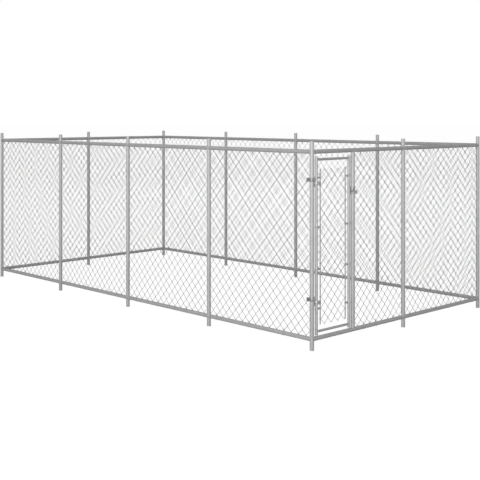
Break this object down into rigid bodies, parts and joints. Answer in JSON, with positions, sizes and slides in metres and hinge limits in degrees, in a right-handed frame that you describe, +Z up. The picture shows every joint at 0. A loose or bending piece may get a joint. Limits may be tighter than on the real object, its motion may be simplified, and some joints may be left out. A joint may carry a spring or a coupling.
{
  "type": "dog kennel run",
  "caption": "Free-standing dog run of galvanised tube posts and rails with chain-link panels, open on top, with a swinging gate held by a fork latch.",
  "frame": {"origin": "on the ground, midway between the four corner posts", "axes": "+Z up, +Y along the length away from the gate end, +X across the run"},
  "size_m": [2.9698, 5.8357, 2],
  "materials": {
    "post_tube": "galvanised",
    "rail_tube": "galvanised",
    "wire": "galvanised",
    "hardware": "dull zinc plate",
    "cap": "satin grey"
  },
  "bodies": {
    "frame": {"post_front_left": "post_tube", "post_front_middle": "post_tube", "post_front_right": "post_tube", "post_right_1": "post_tube", "post_right_2": "post_tube", "post_right_3": "post_tube", "post_back_right": "post_tube", "post_back_middle": "post_tube", "post_back_left": "post_tube", "post_left_1": "post_tube", "post_left_2": "post_tube", "post_left_3": "post_tube", "gate_post": "post_tube", "rails_front_bottom": "rail_tube", "rails_front_top": "rail_tube", "rails_right_bottom": "rail_tube", "rails_right_top": "rail_tube", "rails_back_bottom": "rail_tube", "rails_back_top": "rail_tube", "rails_left_bottom": "rail_tube", "rails_left_top": "rail_tube", "mesh_front_1": "wire", "mesh_front_2": "wire", "mesh_right_1": "wire", "mesh_right_2": "wire", "mesh_right_3": "wire", "mesh_right_4": "wire", "mesh_back_1": "wire", "mesh_back_2": "wire", "mesh_left_1": "wire", "mesh_left_2": "wire", "mesh_left_3": "wire", "mesh_left_4": "wire", "hinge_post_leaves": "hardware", "hinge_pins": "hardware", "hinge_pin_nuts": "hardware", "hinge_post_bolts": "hardware", "latch_collar": "hardware", "latch_collar_bolt": "hardware", "post_caps": "cap", "rail_spigots": "rail_tube", "rail_screws": "hardware", "gate_post_bolts": "hardware", "mesh_ties": "wire"},
    "gate": {"gate_hinge_stile": "post_tube", "gate_latch_stile": "post_tube", "gate_top_bar": "rail_tube", "gate_bottom_bar": "rail_tube", "gate_tension_bar_hinge": "hardware", "gate_tension_bar_latch": "hardware", "gate_tension_bands": "hardware", "gate_tension_bolts": "hardware", "gate_mesh": "wire", "gate_stile_caps": "cap", "hinge_gate_leaves": "hardware", "hinge_gate_bolts": "hardware"},
    "fork": {"latch_fork": "hardware"}
  },
  "joints": [
    {"name": "gate_swing", "type": "hinge", "parent": "frame", "child": "gate", "pos_m": [-1.417, -2.8875, 1.042], "axis": [0, 0, 1], "range_deg": [-95, 90]},
    {"name": "latch_drop", "type": "hinge", "parent": "frame", "child": "fork", "pos_m": [-0.873, -2.8875, 1.49], "axis": [0, -1, 0], "range_deg": [0, 130]}
  ]
}
